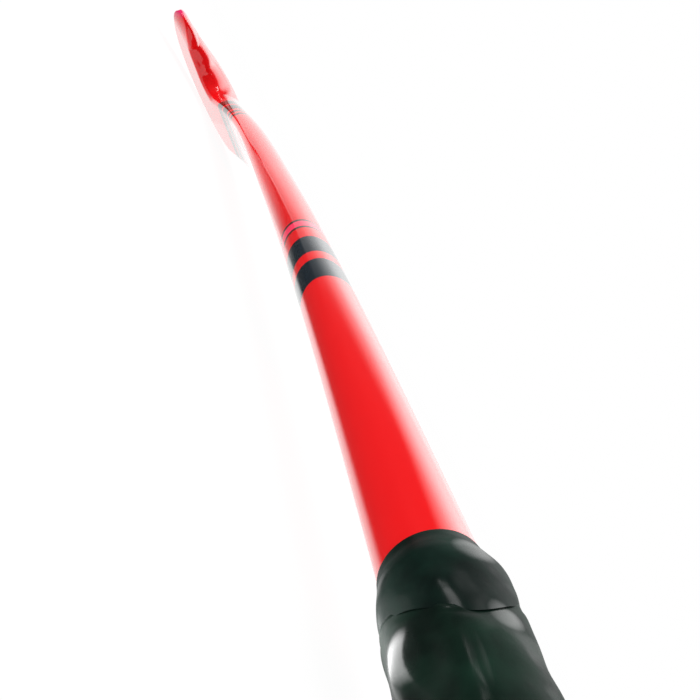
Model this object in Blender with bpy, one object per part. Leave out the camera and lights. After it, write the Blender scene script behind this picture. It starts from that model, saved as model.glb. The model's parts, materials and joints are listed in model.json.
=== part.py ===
# Field hockey stick: a moulded laminate shell over foam cores, with a plugged butt and a wound grip.
#
# Everything is modelled in the stick's own frame and then laid down as the real stick lies, on its
# flat side: x runs from the butt to the head, y from the shaft's centreline to the toe, and z from
# the flat playing side to the rounded back.

import math

import bmesh
import bpy
import numpy as np
from mathutils import Vector

# Overall length and the bow. BOW_DEPTH is how far the flat side stands off a straight line from
# the butt to the head, at BOW_FROM_HEAD from the head's end.
STICK_LENGTH = 0.927
BOW_DEPTH = 0.0221
BOW_FROM_HEAD = 0.282
BOW_HANDLE_POWER = 1.78
BUTT_STANDOFF = 0.0013
HEAD_FLAT_LENGTH = 0.092
HEAD_FLAT_SLOPE = 0.155

# Shaft width (across the flat side) and depth (flat side to back). The shaft is thinnest at
# NECK_DEPTH_BEFORE ahead of the hook.
HANDLE_WIDTH = 0.0302
HANDLE_DEPTH = 0.0280
MIDDLE_WIDTH = 0.0351
MIDDLE_DEPTH = 0.0227
NECK_WIDTH = 0.0458
NECK_DEPTH = 0.0184
NECK_DEPTH_BEFORE = 0.060

# The hook: its centreline follows a circle, then runs straight on into the rounded toe. A place on
# the hook is a share of a half circle from the shaft, and the toe begins at HOOK_END_PLACE.
HOOK_RADIUS = 0.0403
HOOK_END_PLACE = 0.80
HEEL_WIDTH = 0.0478
HEEL_WIDTH_PLACE = 0.50
HEEL_DEPTH = 0.0243
HEEL_DEPTH_PLACE = 0.32
TOE_BAR_DEPTH = 0.0132
TOE_BAR_PLACE = 0.74
TOE_WIDTH = 0.0268
TOE_DEPTH = 0.0106
TOE_RUN = 0.0205
TOE_TIP_DEPTH_SHARE = 0.50
TOE_TIP_MIDDLE_SHARE = 0.40

# The handle's section is oval up to a distance from the butt. It has turned into the D section of
# the lower shaft at a distance from the head's end.
OVAL_UNTIL = 0.509
D_SECTION_FROM_HEAD = 0.171
FACE_EDGE_WIDTH = 0.0034
FACE_EDGE_HEIGHT = 0.0030
D_SIDE_SHARE = 0.30
EDGE_HALF_LIMIT = 0.80
EDGE_SIDE_LIMIT = 0.85

# Laminate walls, and the clearance left between neighbouring pieces.
SHAFT_WALL = 0.0029
HEAD_WALL = 0.0036
FIT_GAP = 0.0003

# Lengths of the pieces inside, measured along the stick. The head's core reaches from the neck,
# HEAD_CORE_REACH before the hook, to a place on the hook, and the shaft's core fills the rest.
SLEEVE_LENGTH = 0.300
SLEEVE_WALL = 0.0010
DAMPER_START = 0.560
DAMPER_LENGTH = 0.030
HEAD_CORE_REACH = 0.041
HEAD_CORE_END_PLACE = 0.71

# Butt: a flared cap over the end of the shell, and a ribbed plug in the handle. An outline's points
# are a share of the length, then a share of the flare or of the groove's depth.
CAP_FLOOR = 0.0030
CAP_LENGTH = 0.0150
CAP_LIP = 0.0014
CAP_FLARE = 0.0043
CAP_OUTLINE = [(0.05, 0.00), (0.15, 0.75), (0.30, 1.00), (0.55, 1.00), (0.78, 0.86), (1.00, 0.66)]
PLUG_LENGTH = 0.040
PLUG_WALL = 0.0045
PLUG_FLOOR = 0.0060
PLUG_RIB_PITCH = 0.0080
PLUG_RIB_DEPTH = 0.0008
PLUG_RIB_OUTLINE = [(0.00, 0.0), (0.45, 0.0), (0.60, 1.0), (0.85, 1.0)]

# Grip: a cushion sleeve, a spiral of tape over it and a tapered collar at its upper end. The
# collar's outline is a share of its length, then a share of its bulge.
GRIP_TOP = 0.3167
COLLAR_LENGTH = 0.0290
COLLAR_EDGE = 0.0005
COLLAR_BULGE = 0.0036
COLLAR_FOOT = 0.0020
COLLAR_OUTLINE = [(0.04, 0.80), (0.14, 0.97), (0.32, 1.00), (0.52, 0.98), (0.66, 0.88),
                  (0.79, 0.62), (0.90, 0.36)]
UNDERLAY_THICKNESS = 0.0009
TAPE_PITCH = 0.0270
TAPE_SEAM_GAP = 0.0005
TAPE_EDGE_THICKNESS = 0.0011
TAPE_CROWN_THICKNESS = 0.0018
TAPE_SHOULDER = 0.22
TAPE_SHOULDER_RISE = 0.75
TAPE_LEAST_WIDTH = 0.0025

# Mesh resolution.
RING_POINTS = 23
EDGE_STEPS = 3
HOOK_STEPS = 24
SHAFT_STEPS = 22
HANDLE_STEPS = 8
TOE_CAP_STEPS = 5
TOE_CAP_CUT = 0.6
NEAREST_STATION = 0.0015
SMOOTH_ANGLE = math.radians(35.0)

# A resting facet of the hull is tilted from level by no more than this.
STEEPEST_REST = math.radians(26.0)

# Places that follow from the sizes above.
HOOK_START = STICK_LENGTH - HOOK_RADIUS - HEEL_WIDTH / 2
HALF_CIRCLE = math.pi * HOOK_RADIUS
HOOK_TURN = math.pi * HOOK_END_PLACE
TOE_CAP_START = HOOK_START + HALF_CIRCLE * HOOK_END_PLACE
SHELL_START = CAP_FLOOR + FIT_GAP
D_SECTION_FROM = STICK_LENGTH - D_SECTION_FROM_HEAD
HEAD_CORE_START = HOOK_START - HEAD_CORE_REACH
HEAD_CORE_END = HOOK_START + HALF_CIRCLE * HEAD_CORE_END_PLACE
UNDERLAY_INNER = FIT_GAP
TAPE_INNER = UNDERLAY_INNER + UNDERLAY_THICKNESS + FIT_GAP
GRIP_START = CAP_LENGTH + FIT_GAP
GRIP_END = GRIP_TOP - COLLAR_LENGTH - FIT_GAP

# Colour (linear RGB), roughness, metallic value and density in kg per cubic metre.
FINISHES = {
    "red_lacquered_laminate": ((0.72, 0.012, 0.018), 0.16, 0.0, 1500.0),
    "bare_laminate": ((0.030, 0.030, 0.033), 0.45, 0.0, 1500.0),
    "rigid_foam": ((0.78, 0.70, 0.48), 0.90, 0.0, 260.0),
    "light_foam": ((0.82, 0.80, 0.70), 0.92, 0.0, 120.0),
    "damping_rubber": ((0.05, 0.09, 0.22), 0.70, 0.0, 1100.0),
    "moulded_plug_plastic": ((0.08, 0.08, 0.08), 0.55, 0.0, 1100.0),
    "cap_rubber": ((0.012, 0.016, 0.014), 0.45, 0.0, 1150.0),
    "cushion_foam": ((0.10, 0.11, 0.11), 0.90, 0.0, 300.0),
    "grip_tape": ((0.014, 0.030, 0.024), 0.28, 0.0, 900.0),
    "collar_tape": ((0.012, 0.026, 0.022), 0.26, 0.0, 1000.0),
}


def clear_scene():
    for old in list(bpy.data.objects):
        bpy.data.objects.remove(old, do_unlink=True)


def ease(value, low, high):
    share = min(max((value - low) / (high - low), 0.0), 1.0)
    return share * share * (3.0 - 2.0 * share)


def smooth_through(stations, x):
    # A monotone cubic through (place, value) stations: it never swells past its own stations.
    places = [place for place, _ in stations]
    values = [value for _, value in stations]
    if x <= places[0]:
        return values[0]
    if x >= places[-1]:
        return values[-1]
    steps = np.diff(places)
    slopes = np.diff(values) / steps
    tangents = [0.0] * len(places)
    for i in range(1, len(places) - 1):
        if slopes[i - 1] * slopes[i] > 0.0:
            near = 2.0 * steps[i] + steps[i - 1]
            far = steps[i] + 2.0 * steps[i - 1]
            tangents[i] = (near + far) / (near / slopes[i - 1] + far / slopes[i])
    tangents[0] = slopes[0]
    tangents[-1] = slopes[-1]
    i = max(k for k in range(len(places) - 1) if places[k] <= x)
    t = (x - places[i]) / steps[i]
    return (values[i] * (2 * t**3 - 3 * t**2 + 1) + tangents[i] * steps[i] * (t**3 - 2 * t**2 + t)
            + values[i + 1] * (3 * t**2 - 2 * t**3) + tangents[i + 1] * steps[i] * (t**3 - t**2))


# Width, depth and wall against the distance along the stick's centreline.
MIDDLE_PLACE = (GRIP_TOP + HOOK_START) / 2
WIDTHS = [(GRIP_TOP, HANDLE_WIDTH), (MIDDLE_PLACE, MIDDLE_WIDTH), (HOOK_START, NECK_WIDTH),
          (HOOK_START + HALF_CIRCLE * HEEL_WIDTH_PLACE, HEEL_WIDTH), (TOE_CAP_START, TOE_WIDTH)]
DEPTHS = [(GRIP_TOP, HANDLE_DEPTH), (MIDDLE_PLACE, MIDDLE_DEPTH),
          (HOOK_START - NECK_DEPTH_BEFORE, NECK_DEPTH),
          (HOOK_START + HALF_CIRCLE * HEEL_DEPTH_PLACE, HEEL_DEPTH),
          (HOOK_START + HALF_CIRCLE * TOE_BAR_PLACE, TOE_BAR_DEPTH), (TOE_CAP_START, TOE_DEPTH)]
WALLS = [(D_SECTION_FROM, SHAFT_WALL), (HOOK_START, HEAD_WALL)]


def flat_side_height(x):
    # Height of the flat side over the line from the butt to the head's end.
    from_head = STICK_LENGTH - x
    if from_head < HEAD_FLAT_LENGTH:
        return HEAD_FLAT_SLOPE * from_head
    if from_head < BOW_FROM_HEAD:
        span = BOW_FROM_HEAD - HEAD_FLAT_LENGTH
        t = (from_head - HEAD_FLAT_LENGTH) / span
        start = HEAD_FLAT_SLOPE * HEAD_FLAT_LENGTH
        return (start * (2 * t**3 - 3 * t**2 + 1) + HEAD_FLAT_SLOPE * span * (t**3 - 2 * t**2 + t)
                + BOW_DEPTH * (3 * t**2 - 2 * t**3))
    t = (from_head - BOW_FROM_HEAD) / (STICK_LENGTH - BOW_FROM_HEAD)
    return BOW_DEPTH - (BOW_DEPTH - BUTT_STANDOFF) * t**BOW_HANDLE_POWER


def centreline(path):
    # Point of the centreline and the in-plane direction that crosses it, at a distance along it.
    if path <= HOOK_START:
        return (path, 0.0), (0.0, 1.0)
    turn = min((path - HOOK_START) / HOOK_RADIUS, HOOK_TURN)
    beyond = max(path - TOE_CAP_START, 0.0)
    x = HOOK_START + HOOK_RADIUS * math.sin(turn) + beyond * math.cos(turn)
    y = HOOK_RADIUS * (1.0 - math.cos(turn)) + beyond * math.sin(turn)
    return (x, y), (-math.sin(turn), math.cos(turn))


def oval_ring(width, depth):
    ring = []
    for k in range(RING_POINTS):
        angle = -math.pi / 2 + (k - 0.5) * 2.0 * math.pi / RING_POINTS
        ring.append((width / 2 * math.cos(angle), depth / 2 * (1.0 + math.sin(angle))))
    return ring


def d_ring(width, depth):
    # Flat side, a rounded edge, a short straight side and a half-oval back, then the same back down.
    half = width / 2
    edge_width = min(FACE_EDGE_WIDTH, half * EDGE_HALF_LIMIT)
    edge_height = min(FACE_EDGE_HEIGHT, depth * D_SIDE_SHARE * EDGE_SIDE_LIMIT)
    side_top = depth * D_SIDE_SHARE
    right = [(half - edge_width, 0.0)]
    for k in range(1, EDGE_STEPS + 1):
        angle = math.pi / 2 * k / EDGE_STEPS
        right.append((half - edge_width * (1.0 - math.sin(angle)), edge_height * (1.0 - math.cos(angle))))
    right.append((half, side_top))
    back_points = RING_POINTS - 2 * len(right)
    back = []
    for k in range(1, back_points + 1):
        angle = math.pi * k / (back_points + 1)
        back.append((half * math.cos(angle), side_top + (depth - side_top) * math.sin(angle)))
    left = [(-across, height) for across, height in reversed(right)]
    return [left[-1]] + right + back + left[:-1]


def section(path, offset):
    # Ring of (across, height) points at a distance along the stick, grown outward by an offset.
    width = smooth_through(WIDTHS, path) + 2.0 * offset
    depth = smooth_through(DEPTHS, path) + 2.0 * offset
    flatness = ease(path, OVAL_UNTIL, D_SECTION_FROM)
    oval = oval_ring(width, depth)
    flat = d_ring(width, depth)
    return [(o[0] + (f[0] - o[0]) * flatness, o[1] + (f[1] - o[1]) * flatness - offset)
            for o, f in zip(oval, flat)]


def ring_at(path, offset):
    (x, y), (across_x, across_y) = centreline(path)
    ring = []
    for across, height in section(path, offset):
        px = x + across_x * across
        ring.append((px, y + across_y * across, flat_side_height(px) + height))
    return ring


def toe_rings():
    # The toe narrows and thins to a rounded end. It thins half with its run and half with its
    # narrowing, which carries on from the hook's own thinning without a step in the back.
    rings = []
    for k in range(1, TOE_CAP_STEPS + 1):
        turn = math.pi / 2 * k / (TOE_CAP_STEPS + TOE_CAP_CUT)
        run = math.sin(turn)
        narrow = math.cos(turn)
        path = TOE_CAP_START + TOE_RUN * run
        thin = 1.0 - (1.0 - TOE_TIP_DEPTH_SHARE) * (run + 1.0 - narrow) / 2
        (x, y), (across_x, across_y) = centreline(path)
        middle = TOE_DEPTH * TOE_TIP_MIDDLE_SHARE
        ring = []
        for across, height in section(TOE_CAP_START, 0.0):
            px = x + across_x * across * narrow
            pz = middle + (height - middle) * thin
            ring.append((px, y + across_y * across * narrow, flat_side_height(px) + pz))
        rings.append(ring)
    return rings


def stations(start, end):
    # Distances along the stick where every lofted piece has a ring, so that neighbours share facets.
    shared = [GRIP_TOP * k / HANDLE_STEPS for k in range(HANDLE_STEPS)]
    shared += [GRIP_TOP + (HOOK_START - GRIP_TOP) * k / SHAFT_STEPS for k in range(SHAFT_STEPS)]
    hook_length = TOE_CAP_START - HOOK_START
    shared += [HOOK_START + hook_length * k / HOOK_STEPS for k in range(HOOK_STEPS + 1)]
    inside = [path for path in shared if start + NEAREST_STATION < path < end - NEAREST_STATION]
    return [start] + inside + [end]


def wall_at(path):
    return smooth_through(WALLS, path)


def mesh_object(name, finish, build):
    bm = bmesh.new()
    build(bm)
    bmesh.ops.recalc_face_normals(bm, faces=bm.faces[:])
    bmesh.ops.triangulate(bm, faces=[face for face in bm.faces if len(face.verts) > 4])
    mesh = bpy.data.meshes.new(name)
    bm.to_mesh(mesh)
    bm.free()
    mesh.shade_smooth()
    mesh.set_sharp_from_angle(angle=SMOOTH_ANGLE)
    mesh.materials.append(finish_material(finish))
    piece = bpy.data.objects.new(name, mesh)
    bpy.context.scene.collection.objects.link(piece)
    return piece


def finish_material(finish):
    material = bpy.data.materials.get(finish)
    if material is None:
        colour, roughness, metallic, _ = FINISHES[finish]
        material = bpy.data.materials.new(finish)
        material.use_nodes = True
        shader = material.node_tree.nodes["Principled BSDF"]
        shader.inputs["Base Color"].default_value = (*colour, 1.0)
        shader.inputs["Roughness"].default_value = roughness
        shader.inputs["Metallic"].default_value = metallic
    return material


def skin(bm, rings, closed_loop=False):
    # Joins rings of equal length into one closed body: end to end in a loop, or with a cap at each end.
    loops = [[bm.verts.new(point) for point in ring] for ring in rings]
    pairs = list(zip(loops, loops[1:]))
    if closed_loop:
        pairs.append((loops[-1], loops[0]))
    for here, there in pairs:
        count = len(here)
        for k in range(count):
            bm.faces.new((here[k], here[(k + 1) % count], there[(k + 1) % count], there[k]))
    if not closed_loop:
        bm.faces.new(loops[0])
        bm.faces.new(loops[-1])


def loft(name, finish, rings, closed_loop=False):
    return mesh_object(name, finish, lambda bm: skin(bm, rings, closed_loop))


def laminate_shell():
    # One moulded body, open at the butt: the outer skin from the toe back to the butt, then the
    # hollow from the butt to the toe.
    outer = [ring_at(path, 0.0) for path in stations(SHELL_START, TOE_CAP_START)] + toe_rings()
    hollow = [ring_at(path, -wall_at(path)) for path in stations(SHELL_START, HEAD_CORE_END + FIT_GAP)]
    return loft("laminate_shell", "red_lacquered_laminate", outer[::-1] + hollow)


def foam_and_damper():
    # Three cores fill the hollow one after another, from the damper to the toe.
    damper_end = DAMPER_START + DAMPER_LENGTH
    runs = [("damper_insert", "damping_rubber", DAMPER_START, damper_end),
            ("shaft_foam_core", "light_foam", damper_end + FIT_GAP, HEAD_CORE_START - FIT_GAP),
            ("head_foam_core", "rigid_foam", HEAD_CORE_START, HEAD_CORE_END)]
    pieces = []
    for name, finish, start, end in runs:
        rings = [ring_at(path, -wall_at(path) - FIT_GAP) for path in stations(start, end)]
        pieces.append(loft(name, finish, rings))
    return pieces


def handle_sleeve():
    # The inner tube that stiffens the handle, open at both ends.
    start = SHELL_START + FIT_GAP
    outer_offset = -SHAFT_WALL - FIT_GAP
    places = stations(start, start + SLEEVE_LENGTH)
    outer = [ring_at(path, outer_offset) for path in places]
    inner = [ring_at(path, outer_offset - SLEEVE_WALL) for path in reversed(places)]
    return loft("handle_sleeve", "bare_laminate", outer + inner, closed_loop=True)


def butt_plug():
    # A ribbed cup pressed into the sleeve, its mouth facing up the handle.
    start = SHELL_START + FIT_GAP
    bore_offset = -SHAFT_WALL - FIT_GAP - SLEEVE_WALL
    rib_offset = bore_offset - FIT_GAP
    rings = []
    rib_count = max(int(PLUG_LENGTH / PLUG_RIB_PITCH + 0.5), 1)
    pitch = PLUG_LENGTH / rib_count
    for k in range(rib_count):
        for share, sunk in PLUG_RIB_OUTLINE:
            rings.append(ring_at(start + (k + share) * pitch, rib_offset - PLUG_RIB_DEPTH * sunk))
    end = start + PLUG_LENGTH
    rings.append(ring_at(end, rib_offset))
    rings.append(ring_at(end, rib_offset - PLUG_WALL))
    rings.append(ring_at(start + PLUG_FLOOR, rib_offset - PLUG_WALL))
    return loft("butt_plug", "moulded_plug_plastic", rings)


def butt_cap():
    # A cup over the end of the shell, flared so that the hand doesn't slip off the grip.
    rings = [ring_at(0.0, -CAP_LIP)]
    rings += [ring_at(CAP_LENGTH * share, CAP_FLARE * flared) for share, flared in CAP_OUTLINE]
    rings.append(ring_at(CAP_LENGTH, FIT_GAP))
    rings.append(ring_at(CAP_FLOOR, FIT_GAP))
    return loft("butt_cap", "cap_rubber", rings)


def grip_underlay():
    places = stations(GRIP_START, GRIP_END)
    outer = [ring_at(path, UNDERLAY_INNER + UNDERLAY_THICKNESS) for path in places]
    inner = [ring_at(path, UNDERLAY_INNER) for path in reversed(places)]
    return loft("grip_underlay", "cushion_foam", outer + inner, closed_loop=True)


def handle_point(path, angle, offset):
    # A point off the handle's oval surface. Angle 0 is the toe's side and a quarter turn the back.
    height = HANDLE_DEPTH / 2 + (HANDLE_DEPTH / 2 + offset) * math.sin(angle)
    across = (HANDLE_WIDTH / 2 + offset) * math.cos(angle)
    return (path, across, flat_side_height(path) + height)


def tape_rings():
    # The tape is cut to a taper at both ends, so the spiral starts and stops square to the handle.
    length = GRIP_END - GRIP_START
    turns = length / TAPE_PITCH + 1.0
    thin = TAPE_INNER + TAPE_EDGE_THICKNESS
    full = TAPE_INNER + TAPE_CROWN_THICKNESS
    shoulder = thin + (full - thin) * TAPE_SHOULDER_RISE
    rings = []
    for step in range(int(turns * RING_POINTS) + 1):
        turned = step / RING_POINTS
        lower = max(GRIP_START, GRIP_START + TAPE_PITCH * (turned - 1.0))
        upper = min(GRIP_END, GRIP_START + TAPE_PITCH * turned - TAPE_SEAM_GAP)
        width = upper - lower
        if width < TAPE_LEAST_WIDTH:
            continue
        angle = -math.pi / 2 + (step - 0.5) * 2.0 * math.pi / RING_POINTS
        profile = [(lower, TAPE_INNER), (upper, TAPE_INNER), (upper, thin),
                   (upper - width * TAPE_SHOULDER, shoulder), ((lower + upper) / 2, full),
                   (lower + width * TAPE_SHOULDER, shoulder), (lower, thin)]
        rings.append([handle_point(path, angle, offset) for path, offset in profile])
    return rings


def grip_tape():
    rings = tape_rings()
    points = np.array(rings)
    least = min(np.linalg.norm(points[i][:, None, :] - points[j][None, :, :], axis=2).min()
                for i in range(len(points))
                for j in range(i + RING_POINTS - 2, min(i + RING_POINTS + 3, len(points))))
    print(f"grip_tape: {len(rings) / RING_POINTS:.1f} turns, least gap to itself {least * 1000:.2f} mm")
    return loft("grip_tape", "grip_tape", rings)


def grip_collar():
    # The finishing collar: a cone up from the bare shaft, a rounded bulge and a drawn-in foot.
    foot = GRIP_TOP - COLLAR_LENGTH
    outline = [(0.0, COLLAR_FOOT)]
    outline += [(share, COLLAR_BULGE * swollen) for share, swollen in COLLAR_OUTLINE]
    outline += [(1.0, COLLAR_EDGE + FIT_GAP)]
    rings = [ring_at(foot + COLLAR_LENGTH * share, offset) for share, offset in outline]
    rings.append(ring_at(GRIP_TOP, FIT_GAP))
    rings.append(ring_at(foot, FIT_GAP))
    return loft("grip_collar", "collar_tape", rings, closed_loop=True)


def mass_and_centre(piece):
    # Volume times density, and the centroid, from the signed tetrahedra of the piece's triangles.
    mesh = piece.data
    mesh.calc_loop_triangles()
    places = np.array([vertex.co[:] for vertex in mesh.vertices], dtype=float)
    corners = places[np.array([triangle.vertices[:] for triangle in mesh.loop_triangles])]
    volumes = np.einsum("ij,ij->i", corners[:, 0], np.cross(corners[:, 1], corners[:, 2])) / 6.0
    centre = (corners.sum(axis=1) / 4.0 * volumes[:, None]).sum(axis=0) / volumes.sum()
    density = FINISHES[mesh.materials[0].name][3]
    return volumes.sum() * density, centre


def resting_normal(pieces, centre):
    # The downward facet of the convex hull that the weight acts through: the stick lies on it.
    bm = bmesh.new()
    for piece in pieces:
        for vertex in piece.data.vertices:
            bm.verts.new(vertex.co)
    bmesh.ops.convex_hull(bm, input=bm.verts[:])
    bm.normal_update()
    best = None
    for face in bm.faces:
        if face.normal.z > -math.cos(STEEPEST_REST):
            continue
        margin = math.inf
        for edge in face.edges:
            a, b = (vertex.co for vertex in edge.verts)
            inward = (b - a).cross(face.normal).normalized()
            if inward.dot(face.calc_center_median() - a) < 0.0:
                inward.negate()
            margin = min(margin, inward.dot(centre - a))
        if best is None or margin > best[0]:
            best = (margin, face.normal.copy())
    bm.free()
    return best[1]


def lay_down(pieces):
    # Parents every piece to one empty, which turns the stick onto its resting facet and puts the
    # middle of its footprint at the origin.
    weights = [mass_and_centre(piece) for piece in pieces]
    total = sum(mass for mass, _ in weights)
    centre = Vector(sum(mass * place for mass, place in weights) / total)
    down = resting_normal(pieces, centre)
    turn = down.rotation_difference(Vector((0.0, 0.0, -1.0)))
    corners = [turn @ vertex.co for piece in pieces for vertex in piece.data.vertices]
    low = [min(corner[axis] for corner in corners) for axis in range(3)]
    high = [max(corner[axis] for corner in corners) for axis in range(3)]
    frame = bpy.data.objects.new("stick_frame", None)
    bpy.context.scene.collection.objects.link(frame)
    frame.rotation_mode = "QUATERNION"
    frame.rotation_quaternion = turn
    frame.location = (-(low[0] + high[0]) / 2, -(low[1] + high[1]) / 2, -low[2])
    for piece in pieces:
        piece.parent = frame
    print(f"mass {total * 1000:.0f} g, box {[round(h - l, 4) for l, h in zip(low, high)]} m")


def main():
    clear_scene()
    pieces = [laminate_shell(), handle_sleeve(), butt_plug(), butt_cap()]
    pieces += foam_and_damper()
    pieces += [grip_underlay(), grip_tape(), grip_collar()]
    lay_down(pieces)


main()
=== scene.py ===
# Field hockey stick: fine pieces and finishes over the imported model.

import json
import math

import bpy
import numpy as np
from mathutils import Matrix, Vector


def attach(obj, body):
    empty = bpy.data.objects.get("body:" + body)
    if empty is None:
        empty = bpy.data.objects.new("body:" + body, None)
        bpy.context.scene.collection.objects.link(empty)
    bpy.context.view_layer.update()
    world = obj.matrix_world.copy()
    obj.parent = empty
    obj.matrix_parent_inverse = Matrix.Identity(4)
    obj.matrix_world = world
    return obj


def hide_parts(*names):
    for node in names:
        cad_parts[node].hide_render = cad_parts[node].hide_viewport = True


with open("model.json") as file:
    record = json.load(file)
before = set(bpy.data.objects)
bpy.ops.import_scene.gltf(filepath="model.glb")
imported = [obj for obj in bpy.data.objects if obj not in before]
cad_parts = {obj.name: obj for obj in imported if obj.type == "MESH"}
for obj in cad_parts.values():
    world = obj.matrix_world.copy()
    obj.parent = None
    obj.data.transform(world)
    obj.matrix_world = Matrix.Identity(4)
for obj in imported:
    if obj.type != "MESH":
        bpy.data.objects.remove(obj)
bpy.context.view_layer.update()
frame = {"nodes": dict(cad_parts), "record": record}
nodes = frame["nodes"]
print("frame loaded:", ", ".join(sorted(nodes)))

# The stick's sizes in metres, x from the butt, y to the toe and z to the rounded back.
# Places on the hook are shares of half a circle.
stick = {
    "length": 0.927,
    "bowDepth": 0.0221,
    "bowFromHead": 0.282,
    "bowPower": 1.78,
    "buttStandoff": 0.0013,
    "headFlat": 0.092,
    "headSlope": 0.155,
    "handle": (0.0302, 0.0280),
    "middle": (0.0351, 0.0227),
    "neck": (0.0458, 0.0184),
    "neckBefore": 0.060,
    "hookRadius": 0.0403,
    "hookEnd": 0.80,
    "heel": (0.0478, 0.0243),
    "heelPlaces": (0.50, 0.32),
    "toeBar": (0.74, 0.0132),
    "toe": (0.0268, 0.0106),
    "toeRun": 0.0205,
    "toeTip": (0.50, 0.40),
    "ovalUntil": 0.509,
    "dSectionFromHead": 0.171,
    # The next three are for the shaft, the heel and the toe.
    "edge": (0.0032, 0.0021, 0.0020),  # rounding of the flat side's edge
    "sideShare": (0.30, 0.42, 0.52),  # height of the upright side
    "backPower": (2.0, 1.35, 2.7),  # 2 is an ellipse, less is more like a roof, more is fuller
    "edgeMost": (0.80, 0.85),  # the edge's most, of the half width and of the upright side
    # Where the heel's form takes over from the shaft's, and the toe's from the heel's.
    "heelFormBefore": 0.01,
    "heelFormAt": 0.3,
    "toeForm": (0.5, 0.76),
    "innerBulge": 0.22,  # extra half width on the inner side of the toe
    "innerBulgeFrom": (0.45, 0.80),
    "gripTop": 0.3167,
    "walls": (0.0029, 0.0036),
}
hookStart = stick["length"] - stick["hookRadius"] - stick["heel"][0] / 2
halfCircle = math.pi * stick["hookRadius"]
hookTurn = math.pi * stick["hookEnd"]
toeStart = hookStart + halfCircle * stick["hookEnd"]
dSectionFrom = stick["length"] - stick["dSectionFromHead"]


# Where the stick lies, from the two mounts in the record.
def stickMatrix():
    mounts = {mount["name"]: mount for mount in frame["record"]["mounts"]}
    slope = stick["headSlope"]
    ex = -Vector(mounts["butt_end"]["axis"]).normalized()
    ez = -Vector(mounts["head_face"]["axis"]) * math.sqrt(1 + slope * slope) - slope * ex
    ez = (ez - ex * ez.dot(ex)).normalized()
    ey = ez.cross(ex)
    turn = Matrix((ex, ey, ez)).transposed()
    butt = turn @ Vector((0, 0, stick["buttStandoff"] + stick["handle"][1] / 2))
    return Matrix.Translation(Vector(mounts["butt_end"]["pos_m"]) - butt) @ turn.to_4x4()


lie = stickMatrix()
alongStick, toToe, toBack = (lie.to_3x3().col[k].normalized() for k in range(3))
buttPoint = lie.translation
spin = np.array(lie.to_3x3())
shiftBy = np.array(lie.translation)


# The stick's form, in its own frame.
def ease(value, low, high):
    share = min(max((value - low) / (high - low), 0.0), 1.0)
    return share * share * (3 - 2 * share)


def smoothThrough(stations, x):  # monotone cubic, the same as the solids are lofted on
    places = [place for place, _ in stations]
    values = [value for _, value in stations]
    if x <= places[0]:
        return values[0]
    if x >= places[-1]:
        return values[-1]
    steps = np.diff(places)
    slopes = np.diff(values) / steps
    tangents = [0.0] * len(places)
    for i in range(1, len(places) - 1):
        if slopes[i - 1] * slopes[i] > 0:
            near = 2 * steps[i] + steps[i - 1]
            far = steps[i] + 2 * steps[i - 1]
            tangents[i] = (near + far) / (near / slopes[i - 1] + far / slopes[i])
    tangents[0] = slopes[0]
    tangents[-1] = slopes[-1]
    i = max(k for k in range(len(places) - 1) if places[k] <= x)
    t = (x - places[i]) / steps[i]
    return (values[i] * (2 * t**3 - 3 * t**2 + 1) + tangents[i] * steps[i] * (t**3 - 2 * t**2 + t)
            + values[i + 1] * (3 * t**2 - 2 * t**3) + tangents[i + 1] * steps[i] * (t**3 - t**2))


middlePlace = (stick["gripTop"] + hookStart) / 2
widths = [(stick["gripTop"], stick["handle"][0]), (middlePlace, stick["middle"][0]),
          (hookStart, stick["neck"][0]),
          (hookStart + halfCircle * stick["heelPlaces"][0], stick["heel"][0]),
          (toeStart, stick["toe"][0])]
depths = [(stick["gripTop"], stick["handle"][1]), (middlePlace, stick["middle"][1]),
          (hookStart - stick["neckBefore"], stick["neck"][1]),
          (hookStart + halfCircle * stick["heelPlaces"][1], stick["heel"][1]),
          (hookStart + halfCircle * stick["toeBar"][0], stick["toeBar"][1]),
          (toeStart, stick["toe"][1])]
walls = [(dSectionFrom, stick["walls"][0]), (hookStart, stick["walls"][1])]


def flatSide(x):
    fromHead = stick["length"] - x
    if fromHead < stick["headFlat"]:
        return stick["headSlope"] * fromHead
    if fromHead < stick["bowFromHead"]:
        span = stick["bowFromHead"] - stick["headFlat"]
        t = (fromHead - stick["headFlat"]) / span
        return (stick["headSlope"] * stick["headFlat"] * (2 * t**3 - 3 * t**2 + 1)
                + stick["headSlope"] * span * (t**3 - 2 * t**2 + t)
                + stick["bowDepth"] * (3 * t**2 - 2 * t**3))
    t = (fromHead - stick["bowFromHead"]) / (stick["length"] - stick["bowFromHead"])
    return stick["bowDepth"] - (stick["bowDepth"] - stick["buttStandoff"]) * t**stick["bowPower"]


def centreline(path):
    if path <= hookStart:
        return (path, 0.0), (0.0, 1.0)
    radius = stick["hookRadius"]
    turn = min((path - hookStart) / radius, hookTurn)
    beyond = max(path - toeStart, 0.0)
    x = hookStart + radius * math.sin(turn) + beyond * math.cos(turn)
    y = radius * (1 - math.cos(turn)) + beyond * math.sin(turn)
    return (x, y), (-math.sin(turn), math.cos(turn))


# A ring's places: flat side 0 to 1, edge to 4, side to 5, back to 19, side to 20, edge to 23.
ringScale = 23


def ringPlaces(flat, edge, side, back):
    runs = [(0, 1, flat), (1, 4, edge), (4, 5, side), (5, 19, back), (19, 20, side), (20, 23, edge)]
    return np.concatenate([np.linspace(a, b, count, endpoint=False) for a, b, count in runs])


def alongHook(path, values):  # a value of the shaft, the heel and the toe, blended between them
    heelAt = hookStart + halfCircle * stick["heelFormAt"]
    toHeel = ease(path, hookStart - stick["heelFormBefore"], heelAt)
    toToeEnd = ease(path, *(hookStart + halfCircle * share for share in stick["toeForm"]))
    shaft, heel, toeEnd = values
    return (shaft + (heel - shaft) * toHeel) * (1 - toToeEnd) + toeEnd * toToeEnd


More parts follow.
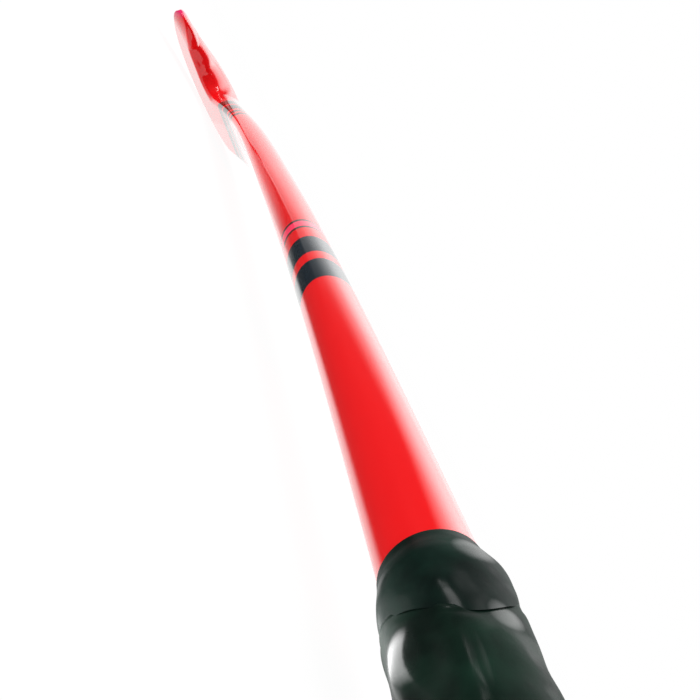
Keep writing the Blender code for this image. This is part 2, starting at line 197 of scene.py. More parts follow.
def outline(places, path, grow=0.0):  # across and height of a ring, between an oval and a D
    width = smoothThrough(widths, path) + 2 * grow
    depth = smoothThrough(depths, path) + 2 * grow
    flatness = ease(path, stick["ovalUntil"], dSectionFrom)
    angle = -math.pi / 2 + (places - 0.5) * 2 * math.pi / ringScale
    across = width / 2 * np.cos(angle)
    height = depth / 2 * (1 + np.sin(angle))
    if flatness > 0:
        half = width / 2
        sideTop = depth * alongHook(path, stick["sideShare"])
        rounding = alongHook(path, stick["edge"])
        edgeWide = min(rounding, half * stick["edgeMost"][0])
        edgeHigh = min(rounding, sideTop * stick["edgeMost"][1])
        t = np.where(places > 12, 24 - places, places)  # the back's middle is at 12
        sign = np.where(places > 12, -1.0, 1.0)
        corner = (np.clip(t, 1, 4) - 1) / 3 * math.pi / 2
        back = math.pi * np.clip(t - 5, 0, 14) / 14
        full = 2 / alongHook(path, stick["backPower"])
        backAcross = np.sign(np.cos(back)) * np.abs(np.cos(back)) ** full
        backHigh = np.abs(np.sin(back)) ** full
        dAcross = np.where(t <= 4, half - edgeWide * (1 - np.sin(corner)), half * backAcross)
        dHeight = np.where(t <= 4, edgeHigh * (1 - np.cos(corner)),
                           np.where(t <= 5, edgeHigh + (sideTop - edgeHigh) * (t - 4),
                                    sideTop + (depth - sideTop) * backHigh))
        dAcross = np.where(places < 1, (2 * places - 1) * (half - edgeWide), dAcross * sign)
        across = across + (dAcross - across) * flatness
        height = height + (dHeight - height) * flatness
    return across, height - grow


def ringAt(places, path, grow=0.0, narrow=1.0, thin=1.0, middle=0.0):
    (x, y), (acrossX, acrossY) = centreline(path)
    across, height = outline(places, min(path, toeStart), grow)
    low, high = (hookStart + halfCircle * share for share in stick["innerBulgeFrom"])
    fuller = across * (1 + stick["innerBulge"] * ease(path, low, high))
    across = np.where(across > 0, fuller, across) * narrow
    px = x + acrossX * across
    pz = middle + (height - middle) * thin
    floorLine = np.array([flatSide(value) for value in px])
    return np.stack([px, y + acrossY * across, floorLine + pz], axis=1)


# Meshes from rings of points.
def makeMesh(name, points, faces):
    mesh = bpy.data.meshes.new(name)
    world = np.asarray(points) @ spin.T + shiftBy
    mesh.from_pydata(world.tolist(), [], faces)
    mesh.validate()
    mesh.update()
    mesh.shade_smooth()
    piece = bpy.data.objects.new(name, mesh)
    bpy.context.scene.collection.objects.link(piece)
    return piece


def lofted(name, rings, closed=False):
    count = len(rings[0])
    points = [tuple(point) for ring in rings for point in ring]
    faces = []
    total = len(rings)
    for i in range(total if closed else total - 1):
        here, there = i * count, (i + 1) % total * count
        for k in range(count):
            after = (k + 1) % count
            faces.append((here + k, here + after, there + after, there + k))
    if not closed:  # both ends are closed with a fan
        for ring, flip in ((0, True), (total - 1, False)):
            points.append(tuple(np.mean(rings[ring], axis=0)))
            for k in range(count):
                edge = (ring * count + k, ring * count + (k + 1) % count)
                faces.append((*(edge[::-1] if flip else edge), len(points) - 1))
    return makeMesh(name, points, faces)


def faceOut(piece):
    bpy.context.view_layer.objects.active = piece
    piece.select_set(True)
    bpy.ops.object.mode_set(mode="EDIT")
    bpy.ops.mesh.select_all(action="SELECT")
    bpy.ops.mesh.normals_make_consistent(inside=False)
    bpy.ops.object.mode_set(mode="OBJECT")
    piece.select_set(False)
    return piece


def sharpen(piece, degrees):
    piece.data.set_sharp_from_angle(angle=math.radians(degrees))
    return piece


# Shader maths: one class wraps a socket, so that masks are written as plain expressions.
class Wire:
    def __init__(self, tree, socket):
        self.tree = tree
        self.socket = socket

    def maths(self, operation, *values, clamp=False):
        made = self.tree.nodes.new("ShaderNodeMath")
        made.operation = operation
        made.use_clamp = clamp
        for slot, value in zip(made.inputs, values):
            plug(self.tree, slot, value)
        return Wire(self.tree, made.outputs[0])

    def __add__(self, other):
        return self.maths("ADD", self, other)

    def __radd__(self, other):
        return self.maths("ADD", other, self)

    def __sub__(self, other):
        return self.maths("SUBTRACT", self, other)

    def __rsub__(self, other):
        return self.maths("SUBTRACT", other, self)

    def __mul__(self, other):
        return self.maths("MULTIPLY", self, other)

    def __rmul__(self, other):
        return self.maths("MULTIPLY", other, self)

    def __truediv__(self, other):
        return self.maths("DIVIDE", self, other)

    def __pow__(self, other):
        return self.maths("POWER", self, other)

    def __abs__(self):
        return self.maths("ABSOLUTE", self)

    def most(self, other):
        return self.maths("MAXIMUM", self, other)

    def sine(self):
        return self.maths("SINE", self)

    def clamped(self):
        return self.maths("ADD", self, 0.0, clamp=True)

    def cut(self, low, gain):
        return ((self - low) * gain).clamped()


def plug(tree, slot, value):
    if isinstance(value, Wire):
        tree.links.new(value.socket, slot)
    else:
        slot.default_value = value


class Graph:  # the nodes of one material, or of the world
    def __init__(self, tree):
        self.tree = tree

    def node(self, kind, settings=None, values=None, out=0):
        made = self.tree.nodes.new("ShaderNode" + kind)
        for name, value in (settings or {}).items():
            setattr(made, name, value)
        for name, value in (values or {}).items():
            plug(self.tree, made.inputs[name], value)
        return Wire(self.tree, made.outputs[out])

    def ramp(self, value, low, high):  # 0 to 1, smooth at both ends
        return self.node("MapRange", {"interpolation_type": "SMOOTHSTEP"},
                         {0: value, 1: low, 2: high})

    def dot(self, where, axis):
        return self.node("VectorMath", {"operation": "DOT_PRODUCT"}, {0: where, 1: tuple(axis)},
                         out="Value")

    def rays(self):  # camera rays, and the rays that mirrors and clear pieces send out
        camera, glossy, clear = (self.node("LightPath", out="Is " + kind + " Ray")
                                 for kind in ("Camera", "Glossy", "Transmission"))
        return camera, glossy + clear


class Finish(Graph):
    def __init__(self, name):
        self.material = bpy.data.materials.new(name)
        self.material.use_nodes = True
        super().__init__(self.material.node_tree)
        self.shader = self.tree.nodes["Principled BSDF"]

    def mix(self, factor, a, b):
        return self.node("Mix", {"data_type": "RGBA"}, {0: factor, 6: a, 7: b}, out=2)

    def place(self):
        return self.node("TexCoord", out="Object")

    def along(self, axis, origin):  # metres from a point, along one direction of the stick
        return self.dot(self.place(), axis) + -Vector(axis).dot(origin)

    def noise(self, scale, detail=2.0, rough=0.5, stretch=None):
        where = self.place()
        if stretch:
            where = self.node("Mapping", None, {0: where, 3: stretch})
        return self.node("TexNoise", None, {"Vector": where, "Scale": scale, "Detail": detail,
                                            "Roughness": rough})

    def bump(self, height, strength, distance, under=None):
        values = {"Height": height, "Strength": strength, "Distance": distance}
        if under:
            values["Normal"] = under
        return self.node("Bump", None, values)

    def set(self, **inputs):
        labels = {"base": "Base Color", "roughness": "Roughness", "specular": "Specular IOR Level",
                  "coat": "Coat Weight", "coatRoughness": "Coat Roughness", "normal": "Normal"}
        for name, value in inputs.items():
            plug(self.tree, self.shader.inputs[labels[name]], value)
        return self.material


def rgb(red, green, blue):  # a colour as it is seen on screen, turned into shader values
    return tuple((c / 12.92 if c <= 0.04045 else ((c + 0.055) / 1.055) ** 2.4)
                 for c in (red / 255, green / 255, blue / 255)) + (1.0,)


# The laminate shell, hollow from the butt into the head.
shell = {
    "name": "lacquered_shell",
    "flatCuts": 14, "edgeCuts": 7, "sideCuts": 3, "backCuts": 44,
    "shaftStep": 0.0045,
    "handleStep": 0.012,
    "hookSteps": 72,
    "toeSteps": 30,
    "toeShort": 0.25,  # the last ring stops this share of a step short of a point
    "noseFrom": 0.25,
    "coreEnd": 0.71,
    "clear": 0.0003,  # between the hollow's end and the core
    "hollowRings": (40, 25),
    "start": 0.0033,
}


def shellPiece():
    places = ringPlaces(shell["flatCuts"], shell["edgeCuts"], shell["sideCuts"], shell["backCuts"])
    handle = np.arange(shell["start"], stick["gripTop"], shell["handleStep"])
    shaft = np.arange(stick["gripTop"], hookStart - shell["shaftStep"] / 2, shell["shaftStep"])
    hook = np.linspace(hookStart, toeStart, shell["hookSteps"] + 1)
    rings = [ringAt(places, path) for path in np.concatenate([handle, shaft, hook])]
    tipShare, middleShare = stick["toeTip"]
    middle = stick["toe"][1] * middleShare
    for k in range(1, shell["toeSteps"] + 1):
        turn = math.pi / 2 * k / (shell["toeSteps"] + shell["toeShort"])
        run, narrow = math.sin(turn), math.cos(turn)
        thin = 1 - (1 - tipShare) * (run + 1 - narrow) / 2
        nose = max(run - shell["noseFrom"], 0) / (1 - shell["noseFrom"])
        thin *= math.sqrt(max(1 - nose * nose, 0.0))  # the very tip is rounded off
        rings.append(ringAt(places, toeStart + stick["toeRun"] * run, 0, narrow, thin, middle))
    hollowEnd = hookStart + halfCircle * shell["coreEnd"] + shell["clear"]
    straight, curved = shell["hollowRings"]
    inside = [*np.linspace(shell["start"], hookStart, straight),
              *np.linspace(hookStart, hollowEnd, curved)[1:]]
    hollow = [ringAt(places, path, -smoothThrough(walls, path)) for path in inside]
    return faceOut(lofted(shell["name"], rings[::-1] + hollow))


# Lacquer: red with printed dark bands under clear gloss. Bands are runs along the stick.
lacquer = {
    "red": rgb(238, 18, 21),
    "deepRed": rgb(228, 13, 18),
    "pink": rgb(255, 50, 92),
    "toePink": rgb(232, 40, 105),
    "band": rgb(24, 36, 45),
    "pinstripe": rgb(62, 40, 34),
    "neckBand": rgb(58, 40, 32),
    "bands": [(0.5123, 0.5315), (0.4833, 0.5034)],
    "pinstripes": [(0.5532, 0.5555), (0.5438, 0.5461)],
    "neckBands": [(0.8280, 0.8420), (0.8090, 0.8240), (0.7985, 0.8045), (0.7890, 0.7940)],
    "soft": 0.00025,
    # Noises are scale, detail, roughness and stretch. A cut is where it starts and how steeply.
    "cloud": (9.0, 3.0, 0.55),
    "cloudCut": (0.35, 1.6),
    "fleck": (1400.0, 2.0, 0.6),
    "fleckRough": 0.05,
    "scuff": (60.0, 4.0, 0.7, (1.0, 0.25, 1.0)),
    "scuffCut": (0.56, 4.0),
    "scuffRough": 0.08,
    "peelNoise": (420.0, 1.0),
    "peelDepth": 0.0004,
    "roughness": 0.34,
    "specular": 0.05,
    "toePinkFrom": 0.083,
    "toePinkSoft": 0.005,
    "peel": 0.022,
    "coatRoughness": 0.045,
}


def lacquerFinish():
    f = Finish("gloss_lacquer_red")
    s = f.along(alongStick, buttPoint)
    y = f.along(toToe, buttPoint)

    def between(low, high):
        half, centre = (high - low) / 2, (high + low) / 2
        return ((half - abs(s - centre)) / lacquer["soft"] + 0.5).clamped()

    def anyOf(runs):
        mask = between(*runs[0])
        for run in runs[1:]:
            mask = mask.most(between(*run))
        return mask

    cloud = f.noise(*lacquer["cloud"]).cut(*lacquer["cloudCut"])
    fleck = f.noise(*lacquer["fleck"])
    upper, lower = lacquer["pinstripes"]
    colour = f.mix(cloud, lacquer["deepRed"], lacquer["red"])
    colour = f.mix(between(lower[1], upper[0]), colour, lacquer["pink"])
    toeTip = ((y - lacquer["toePinkFrom"]) / lacquer["toePinkSoft"]).clamped()
    colour = f.mix(toeTip, colour, lacquer["toePink"])
    colour = f.mix(anyOf(lacquer["pinstripes"]), colour, lacquer["pinstripe"])
    colour = f.mix(anyOf(lacquer["bands"]), colour, lacquer["band"])
    colour = f.mix(anyOf(lacquer["neckBands"]), colour, lacquer["neckBand"])
    orangePeel = f.bump(f.noise(*lacquer["peelNoise"]), lacquer["peel"], lacquer["peelDepth"])
    scuff = f.noise(*lacquer["scuff"]).cut(*lacquer["scuffCut"])
    roughness = (lacquer["roughness"] + scuff * lacquer["scuffRough"]
                 + (fleck - 0.5) * lacquer["fleckRough"])
    return f.set(base=colour, roughness=roughness, specular=lacquer["specular"], coat=1.0,
                 coatRoughness=lacquer["coatRoughness"], normal=orangePeel)


# The grip: underlay, lapped tape and finishing collar.
grip = {
    "start": 0.0153,
    "collarLength": 0.0290,
    "clear": 0.0003,
    "underlay": (0.0003, 0.0009),
    "underlayCuts": (8, 8, 2, 46),
    "underlayRings": 60,
    "tapeInner": 0.0015,
    "pitch": 0.0270,
    "lap": 0.0036,
    "lapGap": 0.00008,
    "lapFade": 0.0016,
    "leastWidth": 0.0030,
    "lastTurnFrom": 0.2545,  # the last turn goes square round and runs up to the collar
    "edgeThick": 0.0006,
    "fullThick": 0.0017,
    "taper": 0.0045,
    "stepsPerTurn": 84,
    "cutsAcross": 26,
    "cutsBunched": 0.06,  # the cuts lie closer together at the tape's edges
    "collarCuts": (144, 64),
    "foot": 0.2855,
    "slant": 0.030,
    "slantMost": 0.0135,
    "slantAt": 25,
    "collarBulge": 0.0036,
    "flatSideLess": 0.28,  # the collar is thinner towards the stick's flat side
    "flatSidePower": 1.5,
    "footShare": 0.80,
    "footEase": 0.0055,
    "seamThick": 0.0013,  # the tape's last edge, beside the collar
    "tuckedUnder": 0.0012,  # the tape's end goes this far under the collar
    "collarOutline": [(0.0, 0.97), (0.32, 1.00), (0.52, 0.98), (0.66, 0.88), (0.79, 0.60),
                      (0.90, 0.30), (1.0, 0.10)],
    "lumps": [(0.00020, 0.034, 2, 0.6), (0.00014, 0.021, -3, 2.0), (0.00008, 0.013, 4, 4.1)],
    "ridges": [(0.00022, 5, 0.9), (0.00012, 8, 2.2)],
    "swells": [(0.0021, 0.2795, -44, 0.0075, 17), (0.0007, 0.2950, 4, 0.0050, 15),
               (-0.0006, 0.2760, -14, 0.0220, 13), (0.0005, 0.2700, 12, 0.0260, 12)],
}
gripEnd = stick["gripTop"] - grip["collarLength"] - grip["clear"]


def footAt(angle):  # the collar's lower edge, wound on a slant and lowest on the toe side
    rise = grip["slant"] * (1 - np.cos(angle - math.radians(grip["slantAt"])))
    return grip["foot"] + grip["slantMost"] * (1 - np.exp(-rise / grip["slantMost"]))


def lump(path, angle):  # soft swells, where the cushion under the wraps isn't even
    total = sum(high * np.sin(2 * math.pi * path / length + around * angle + start)
                for high, length, around, start in grip["lumps"])
    total = total + sum(high * np.sin(around * angle + start)
                        for high, around, start in grip["ridges"])
    for high, at, degrees, long, wide in grip["swells"]:
        turn = angle - math.radians(degrees)
        turn = np.degrees(np.arctan2(np.sin(turn), np.cos(turn)))
        total = total + high * np.exp(-((path - at) / long) ** 2 - (turn / wide) ** 2)
    return total


def handlePoints(path, angle, grow):
    wide, deep = stick["handle"][0] / 2, stick["handle"][1] / 2
    floorLine = np.array([flatSide(value) for value in np.atleast_1d(path)])
    height = floorLine + deep + (deep + grow) * np.sin(angle)
    return np.stack([path, (wide + grow) * np.cos(angle), height], axis=-1)


def tapePiece():
    start, pitch, lap, last = grip["start"], grip["pitch"], grip["lap"], grip["lastTurnFrom"]
    steps = grip["stepsPerTurn"]
    share = np.linspace(0, 1, grip["cutsAcross"])
    share = share - grip["cutsBunched"] * np.sin(2 * math.pi * share)
    squareFrom = (last - start) / pitch + 1
    rings = []

    def edgeProfile(distance):
        t = np.clip(distance / grip["taper"], 0, 1)
        return grip["edgeThick"] + (grip["fullThick"] - grip["edgeThick"]) * np.sin(t * math.pi / 2)

    for step in range(int((squareFrom + 1) * steps)):
        turned = step / steps
        angle = -math.pi / 2 + turned * 2 * math.pi
        if turned < squareFrom:
            low = max(start, start + pitch * (turned - 1))
            high = min(last, start + pitch * turned) + lap
            before = start + pitch * (turned - 1) + lap  # the upper edge of the turn below
        else:
            low, high, before = last, footAt(angle) + grip["tuckedUnder"], last + lap
        path = low + (high - low) * share
        under = np.zeros_like(path)
        if turned >= 1:
            lapDepth = before - path
            covered = edgeProfile(np.clip(lapDepth, 0, None)) + grip["lapGap"]
            fall = np.clip(1 + lapDepth / grip["lapFade"], 0, 1)
            beside = (grip["edgeThick"] + grip["lapGap"]) * fall * fall * (3 - 2 * fall)
            under = np.where(lapDepth > 0, covered, beside)
        upper = edgeProfile(high - path)
        if turned >= squareFrom:
            upper = np.maximum(upper, grip["seamThick"])
        thick = np.minimum(edgeProfile(path - low), upper)
        inner = grip["tapeInner"] + under
        top = handlePoints(path, angle, inner + thick + lump(path, angle))
        bottom = handlePoints(path, angle, inner)
        if high - low > grip["leastWidth"]:
            rings.append(np.concatenate([bottom, top[::-1]]))
    return faceOut(lofted("wound_tape", rings))


def collarPiece():
    cuts, steps = grip["collarCuts"]
    around = np.linspace(0, 2 * math.pi, cuts, endpoint=False)
    foot = footAt(around)
    fullness = 1 - grip["flatSideLess"] * np.clip(-np.sin(around), 0, 1) ** grip["flatSidePower"]
    rings = []
    for share in np.linspace(0, 1, steps):
        path = foot + (stick["gripTop"] - foot) * share
        along = 1 - (stick["gripTop"] - path) / grip["collarLength"]
        profile = np.array([smoothThrough(grip["collarOutline"], value) for value in along])
        rounded = np.sin(np.clip((path - foot) / grip["footEase"], 0, 1) * math.pi / 2)
        edge = grip["footShare"] + (1 - grip["footShare"]) * rounded
        swell = lump(path, around) * math.sin(math.pi * share)
        grow = grip["collarBulge"] * profile * edge * fullness + swell
        rings.append(handlePoints(path, around, grow))
    top = handlePoints(np.full_like(around, stick["gripTop"]), around, grip["clear"])
    bottom = handlePoints(foot, around, grip["clear"])
    return faceOut(sharpen(lofted("finishing_collar", rings + [top, bottom], closed=True), 50))


def underlayPiece():
    places = ringPlaces(*grip["underlayCuts"])
    low, thick = grip["underlay"]
    run = np.linspace(grip["start"], gripEnd, grip["underlayRings"])
    outer = [ringAt(places, path, low + thick) for path in run]
    inner = [ringAt(places, path, low) for path in run[::-1]]
    return faceOut(sharpen(lofted("cushion_sleeve", outer + inner, closed=True), 50))


# The butt cap, moulded over the open end.
cap = {
    "length": 0.0150, "floor": 0.0030, "lip": 0.0014, "flare": 0.0043, "edgeRadius": 0.0016,
    "endRings": (0.0110, 0.0080, 0.0050, 0.0032),  # how far inside the handle's outline
    "cuts": 112, "cornerSteps": 8, "cornerDeep": 0.4, "sideFrom": 0.14, "sideRings": 26,
    "clear": 0.0003, "floorRings": (0.004, 0.009),
    "outline": [(0.0, 0.02), (0.05, 0.18), (0.15, 0.72), (0.30, 1.00), (0.55, 1.00), (0.78, 0.86),
                (1.00, 0.66)],
}


def capPiece():
    around = np.linspace(0, 2 * math.pi, cap["cuts"], endpoint=False)

    def ring(path, grow):
        return handlePoints(np.full_like(around, path), around, grow)

    rings = [ring(0.0, -grow) for grow in cap["endRings"]]
    for k in range(cap["cornerSteps"] + 1):  # a rounded corner between the flat end and the side
        turn = math.pi / 2 * k / cap["cornerSteps"]
        inward = cap["edgeRadius"] * cap["cornerDeep"] * (1 - math.sin(turn))
        rings.append(ring(cap["edgeRadius"] * (1 - math.cos(turn)), -cap["lip"] - inward))
    shares = np.linspace(cap["sideFrom"], 1.0, cap["sideRings"])
    rings += [ring(cap["length"] * share, cap["flare"] * smoothThrough(cap["outline"], share))
              for share in shares]
    rings += [ring(cap["length"], cap["clear"]), ring(cap["floor"], cap["clear"])]
    rings += [ring(cap["floor"], -grow) for grow in cap["floorRings"]]
    return faceOut(sharpen(lofted("butt_cap_moulding", rings), 50))


# Finishes of the grip and the hidden pieces.
wear = {  # places on the toe side: along, height, half length, half height, how glossy
    "patches": [(0.2822, 0.0176, 0.0070, 0.0042, 1.0), (0.3070, 0.0410, 0.0050, 0.0040, 0.50),
                (0.2851, 0.0412, 0.0040, 0.0030, 0.50), (0.2893, 0.0315, 0.0035, 0.0030, 0.28),
                (0.3083, 0.0180, 0.0030, 0.0040, 0.35), (0.2740, 0.0320, 0.0100, 0.0018, 0.30)],
    "patchEdge": (1.5, 0.2),
    "toeSideFrom": (0.0, 0.004),
    "everywhere": 0.02,
    "cloudy": 0.12,
    "cloudyNoise": (85.0, 2.0, 0.5),
    "cloudyCut": (0.50, 6.0),
    "specular": 0.02,
    "coatRoughness": 0.20,
}
rubber = {
    "cloud": (55.0, 3.0, 0.55), "cloudCut": (0.4, 3.0), "cloudRough": 0.22,
    "grain": (2600.0, 2.0, 0.6), "grainRough": 0.06, "pores": 1500.0,
    "fineRelief": (0.10, 0.00012), "softNoise": (190.0, 2.0, 0.5), "softRelief": (0.18, 0.0008),
}
foam = {"rough": 0.82, "cellRough": 0.12, "relief": (0.6, 0.0004)}
woven = {"pitch": 0.0024, "rough": 0.36, "weaveRough": 0.22, "relief": (0.3, 0.0003)}
moulded = {
    "cloud": (70.0, 3.0, 0.55), "cloudCut": (0.35, 2.0), "cloudRough": 0.08,
    "grain": (2.0, 0.6), "grainRough": 0.14, "relief": (0.22, 0.00025),
}


def gripFinish(name, dark, light, roughness):
    f = Finish(name)
    cloud = f.noise(*rubber["cloud"])
    grain = f.noise(*rubber["grain"])
    pore = f.node("TexVoronoi", None, {"Vector": f.place(), "Scale": rubber["pores"]})
    colour = f.mix(cloud.cut(*rubber["cloudCut"]), dark, light)
    rough = roughness + (cloud - 0.5) * rubber["cloudRough"] + (grain - 0.5) * rubber["grainRough"]
    s, y, z = (f.along(axis, buttPoint) for axis in (alongStick, toToe, toBack))
    cloudy = f.noise(*wear["cloudyNoise"]).cut(*wear["cloudyCut"])
    smooth = wear["everywhere"] + cloudy * wear["cloudy"]
    for at, high, long, tall, gloss in wear["patches"]:
        outward = ((s - at) / long) ** 2 + ((z - high) / tall) ** 2
        patch = f.ramp(outward, *wear["patchEdge"]) * f.ramp(y, *wear["toeSideFrom"])
        smooth = smooth.most(patch * gloss)
    relief = f.bump(grain * 0.5 + pore * 0.5, *rubber["fineRelief"])
    relief = f.bump(f.noise(*rubber["softNoise"]), *rubber["softRelief"], relief)
    return f.set(base=colour, roughness=rough, specular=wear["specular"], coat=smooth,
                 coatRoughness=wear["coatRoughness"], normal=relief)


def foamFinish(name, light, dark, cell):
    f = Finish(name)
    cells = f.node("TexVoronoi", None, {"Vector": f.place(), "Scale": cell})
    tone = (f.noise(cell / 8, 3.0) * 0.5 + cells * 0.5).clamped()
    return f.set(base=f.mix(tone, light, dark), roughness=foam["rough"] + cells * foam["cellRough"],
                 normal=f.bump(cells, *foam["relief"]))


def wovenFinish(name, light, dark):
    f = Finish(name)
    pitch = 2 * math.pi / woven["pitch"]
    s = f.along(alongStick, buttPoint) * pitch
    y = f.along(toToe, buttPoint) * pitch
    weave = ((s + y).sine() * (s - y).sine() * 0.5 + 0.5).clamped()
    rough = woven["rough"] + weave * woven["weaveRough"]
    return f.set(base=f.mix(weave, dark, light), roughness=rough,
                 normal=f.bump(weave, *woven["relief"]))


def mouldedFinish(name, base, light, roughness, grainScale):
    f = Finish(name)
    cloud = f.noise(*moulded["cloud"])
    grain = f.noise(grainScale, *moulded["grain"])
    rough = roughness + (grain - 0.5) * moulded["grainRough"]
    rough = rough + (cloud - 0.5) * moulded["cloudRough"]
    return f.set(base=f.mix(cloud.cut(*moulded["cloudCut"]), base, light), roughness=rough,
                 normal=f.bump(grain, *moulded["relief"]))


shellObject = shellPiece()
print("shell made")
tapeObject = tapePiece()
collarObject = collarPiece()
underlayObject = underlayPiece()
capObject = capPiece()
print("grip and cap made")

dressed = [
    (shellObject, "laminate_shell", "lacquered_laminate", lacquerFinish()),
    (tapeObject, "grip_tape", "grip_tape",
     gripFinish("gloss_grip_tape", rgb(10, 23, 18), rgb(20, 46, 35), 0.46)),
    (collarObject, "grip_collar", "grip_collar",
     gripFinish("gloss_collar_wrap", rgb(10, 22, 19), rgb(19, 43, 35), 0.46)),
    (underlayObject, "grip_underlay", "cushion",
     foamFinish("cushion_foam_rubber", rgb(96, 98, 98), rgb(70, 72, 73), 900.0)),
    (capObject, "butt_cap", "cap_rubber",
     mouldedFinish("satin_cap_rubber", rgb(20, 26, 24), rgb(31, 38, 35), 0.46, 1900.0)),
]
for piece, node, slot, finish in dressed:
    piece.data.materials.append(finish)
    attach(piece, "root")
    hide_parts(node)

carried = {
    "handle_sleeve": wovenFinish("woven_laminate", rgb(66, 67, 70), rgb(26, 26, 29)),
    "butt_plug": mouldedFinish("moulded_plug_plastic", rgb(72, 72, 73), rgb(88, 88, 89),
                               0.50, 1500.0),
    "damper_insert": mouldedFinish("damping_rubber", rgb(44, 66, 112), rgb(62, 86, 134),
                                   0.66, 1200.0),
    "shaft_foam_core": foamFinish("light_foam", rgb(238, 236, 224), rgb(214, 210, 194), 650.0),
    "head_foam_core": foamFinish("rigid_foam", rgb(232, 220, 184), rgb(205, 190, 148), 900.0),
}
for name, finish in carried.items():
    nodes[name].data.materials.clear()
    nodes[name].data.materials.append(finish)
print("finishes made")


# Floor, backdrop and light.
studio = {
    "floorSize": 80.0,
    "floorCuts": 24,
    "floorWhite": rgb(246, 246, 246),
    "cameraShare": 0.93,
    "cameraLevel": 1.02,
    "dark": 0.04,  # what the gloss mirrors of the room behind the camera
    "paleTowards": (1.0, -0.4, 0.10),  # to the white backdrop: along the stick, to the toe, up
    "paleFrom": (0.72, 0.90),
    "paleLevel": 1.2,
    # White areas that only gloss mirrors. Boxes: up from and to, ahead from and to, level.
    "backBox": (0.25, 0.45, 0.86, 0.96, 0.7),
    "topBox": (0.48, 0.78, 0.05, 0.40, 3.4),
    "floorBehind": (0.008, -0.004, 1.30, 0.92),  # from, to, level, level far ahead
    "floorAhead": (0.50, 0.70, 1.2),  # from, to, level
    "floorSlant": 3.5,
    "floorFar": (0.95, 1.30),
    "reachSoft": 0.01,
    "bounce": 1.0,
    "bounceShare": 0.5,
    "worldLevel": 0.95,
    "dimBehindCamera": 0.7,
    "dimFrom": (0.0, 0.6),
}


def groundPiece():
    size = studio["floorSize"]
    mesh = bpy.data.meshes.new("floor")
    count = studio["floorCuts"]
    line = np.linspace(-1, 1, count + 1)
    line = np.sign(line) * line**2 * size  # finer near the stick
    points = [(x, y, 0.0) for x in line for y in line]
    faces = [(i * (count + 1) + j, (i + 1) * (count + 1) + j, (i + 1) * (count + 1) + j + 1,
              i * (count + 1) + j + 1) for i in range(count) for j in range(count)]
    mesh.from_pydata(points, [], faces)
    ground = bpy.data.objects.new("floor", mesh)
    bpy.context.scene.collection.objects.link(ground)
    return ground


def floorFinish():
    f = Finish("pale_floor")
    f.tree.nodes.remove(f.shader)
    output = f.tree.nodes["Material Output"]
    camera, seen = f.rays()
    y = f.along(toToe, buttPoint)
    x = f.along(alongStick, buttPoint)
    behindFrom, behindTo, behindLevel, behindFar = studio["floorBehind"]
    aheadFrom, aheadTo, aheadLevel = studio["floorAhead"]
    ahead = f.ramp(x - y * studio["floorSlant"], aheadFrom, aheadTo) * aheadLevel
    x = x - stick["length"] / 2
    reach = (x * x + y * y + studio["reachSoft"]) ** 0.5
    slope = (x * studio["paleTowards"][0] + y * studio["paleTowards"][1]) / reach
    far = f.ramp(slope, *studio["paleFrom"]) * studio["paleLevel"]
    farShare = f.ramp(x, *(place - stick["length"] / 2 for place in studio["floorFar"]))
    behind = f.ramp(y, behindFrom, behindTo) * (behindLevel + farShare * (behindFar - behindLevel))
    mirrored = behind.most(ahead * (1 - farShare) + far * farShare).most(studio["dark"])
    lit = seen * mirrored + (1 - seen) * studio["bounce"]
    strength = camera * studio["cameraLevel"] + (1 - camera) * lit
    glow = f.node("Emission", None, {"Strength": strength})
    matte = f.node("BsdfDiffuse", None, {"Color": studio["floorWhite"]})
    glowing = seen + (1 - seen) * studio["bounceShare"]
    share = camera * studio["cameraShare"] + (1 - camera) * glowing
    mixed = f.node("MixShader", None, {0: share.clamped(), 1: matte, 2: glow})
    f.tree.links.new(mixed.socket, output.inputs["Surface"])
    return f.material


def setWorld():
    world = bpy.data.worlds.new("white_studio")
    bpy.context.scene.world = world
    world.use_nodes = True
    g = Graph(world.node_tree)
    background = g.tree.nodes["Background"]
    camera, seen = g.rays()

    def towards(direction):
        return g.dot(g.node("TexCoord", out="Generated"), lie.to_3x3() @ Vector(direction))

    pale = towards(studio["paleTowards"])
    up = towards((0, 0, 1))
    upLow, upHigh, paleLow, paleHigh, backLevel = studio["backBox"]
    topLow, topHigh, aheadLow, aheadHigh, topLevel = studio["topBox"]
    ahead = towards((1, 0, 0))
    mirrored = (studio["dark"] + g.ramp(pale, *studio["paleFrom"]) * studio["paleLevel"]
                + g.ramp(up, upLow, upHigh) * g.ramp(pale, paleLow, paleHigh) * backLevel
                + g.ramp(up, topLow, topHigh) * g.ramp(ahead, aheadLow, aheadHigh) * topLevel)
    dim = g.ramp(towards((-1, 0, 0)), *studio["dimFrom"]) * studio["dimBehindCamera"]
    lit = studio["worldLevel"] * (1 - dim)
    level = camera + (1 - camera) * (seen * mirrored + (1 - seen) * lit)
    g.tree.links.new(level.socket, background.inputs["Strength"])
    background.inputs["Color"].default_value = (1, 1, 1, 1)


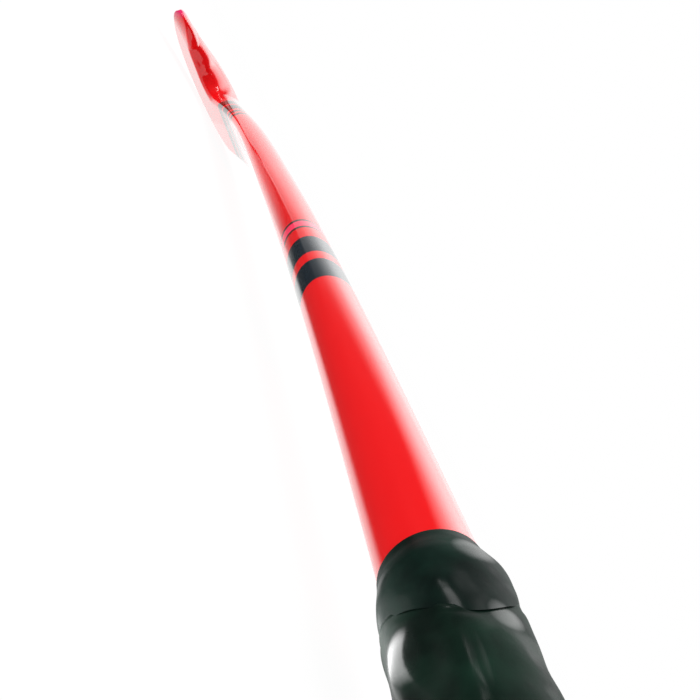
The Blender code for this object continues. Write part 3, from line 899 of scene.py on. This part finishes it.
# Lamps: size in metres, power in watts, place and aim in the stick's frame unless inRoom is set.
lamps = {
    "overhead": {"place": (0.2, 0.2, 2.4), "aim": (0.1, 0.0, 0.0), "size": 2.4, "power": 18.0,
                 "inRoom": True, "glossy": False},
    "toe_side_box": {"place": (0.80, 1.10, 0.33), "aim": (0.55, 0.0, 0.03), "size": 0.40,
                     "power": 4.0},
    "floor_card": {"place": (0.304, 0.012, 0.000), "aim": (0.303, 0.012, 0.030), "size": 0.044,
                   "power": 0.036, "diffuse": False},
    "head_box": {"place": (1.08, 1.10, 0.16), "aim": (0.87, 0.03, 0.015), "size": 0.16,
                 "power": 1.0},
    "toe_spot": {"place": (0.37, 0.28, 0.85), "aim": (0.87, 0.08, 0.01), "size": 0.12,
                 "power": 0.7},
}


def softLamp(name, place, aim, size, power, inRoom=False, glossy=True, diffuse=True):
    lamp = bpy.data.lights.new(name, "AREA")
    lamp.shape = "SQUARE"
    lamp.size = size
    lamp.energy = power
    place, aim = (Vector(point) if inRoom else lie @ Vector(point) for point in (place, aim))
    body = bpy.data.objects.new(name, lamp)
    body.location = place
    body.rotation_mode = "QUATERNION"
    body.rotation_quaternion = (aim - place).to_track_quat("-Z", "Y")
    body.visible_camera = False
    body.visible_glossy = glossy
    body.visible_diffuse = diffuse
    bpy.context.scene.collection.objects.link(body)


floor = groundPiece()
floor.data.materials.append(floorFinish())
setWorld()
for name, given in lamps.items():
    softLamp(name, **given)
print("studio made")

# Camera: fitted to the outline of the stick in the photograph, in the stick's own frame.
view = {
    "place": (0.14280533, 0.16348418, 0.02570208),
    "forward": (0.87903282, -0.47594783, 0.02783822),
    "right": (-0.19183833, -0.29964541, 0.93456443),
    "focalPixels": 910.565,
    "centrePixel": 355.0,
    "framePixels": 700,
    "sensor": 36.0,
    "clip": (0.005, 200.0),
}


def setCamera():
    data = bpy.data.cameras.new("camera")
    data.sensor_width = view["sensor"]
    data.lens = data.sensor_width * view["focalPixels"] / view["framePixels"]
    data.shift_x = (view["framePixels"] / 2 - view["centrePixel"]) / view["framePixels"]
    data.clip_start, data.clip_end = view["clip"]
    camera = bpy.data.objects.new("camera", data)
    bpy.context.scene.collection.objects.link(camera)
    forward = (lie.to_3x3() @ Vector(view["forward"])).normalized()
    right = lie.to_3x3() @ Vector(view["right"])
    right = (right - forward * right.dot(forward)).normalized()
    up = right.cross(forward)
    turn = Matrix((right, up, -forward)).transposed().to_4x4()
    camera.matrix_world = Matrix.Translation(lie @ Vector(view["place"])) @ turn
    bpy.context.scene.camera = camera


setCamera()
bpy.context.scene.view_settings.view_transform = "Standard"
print("camera set")
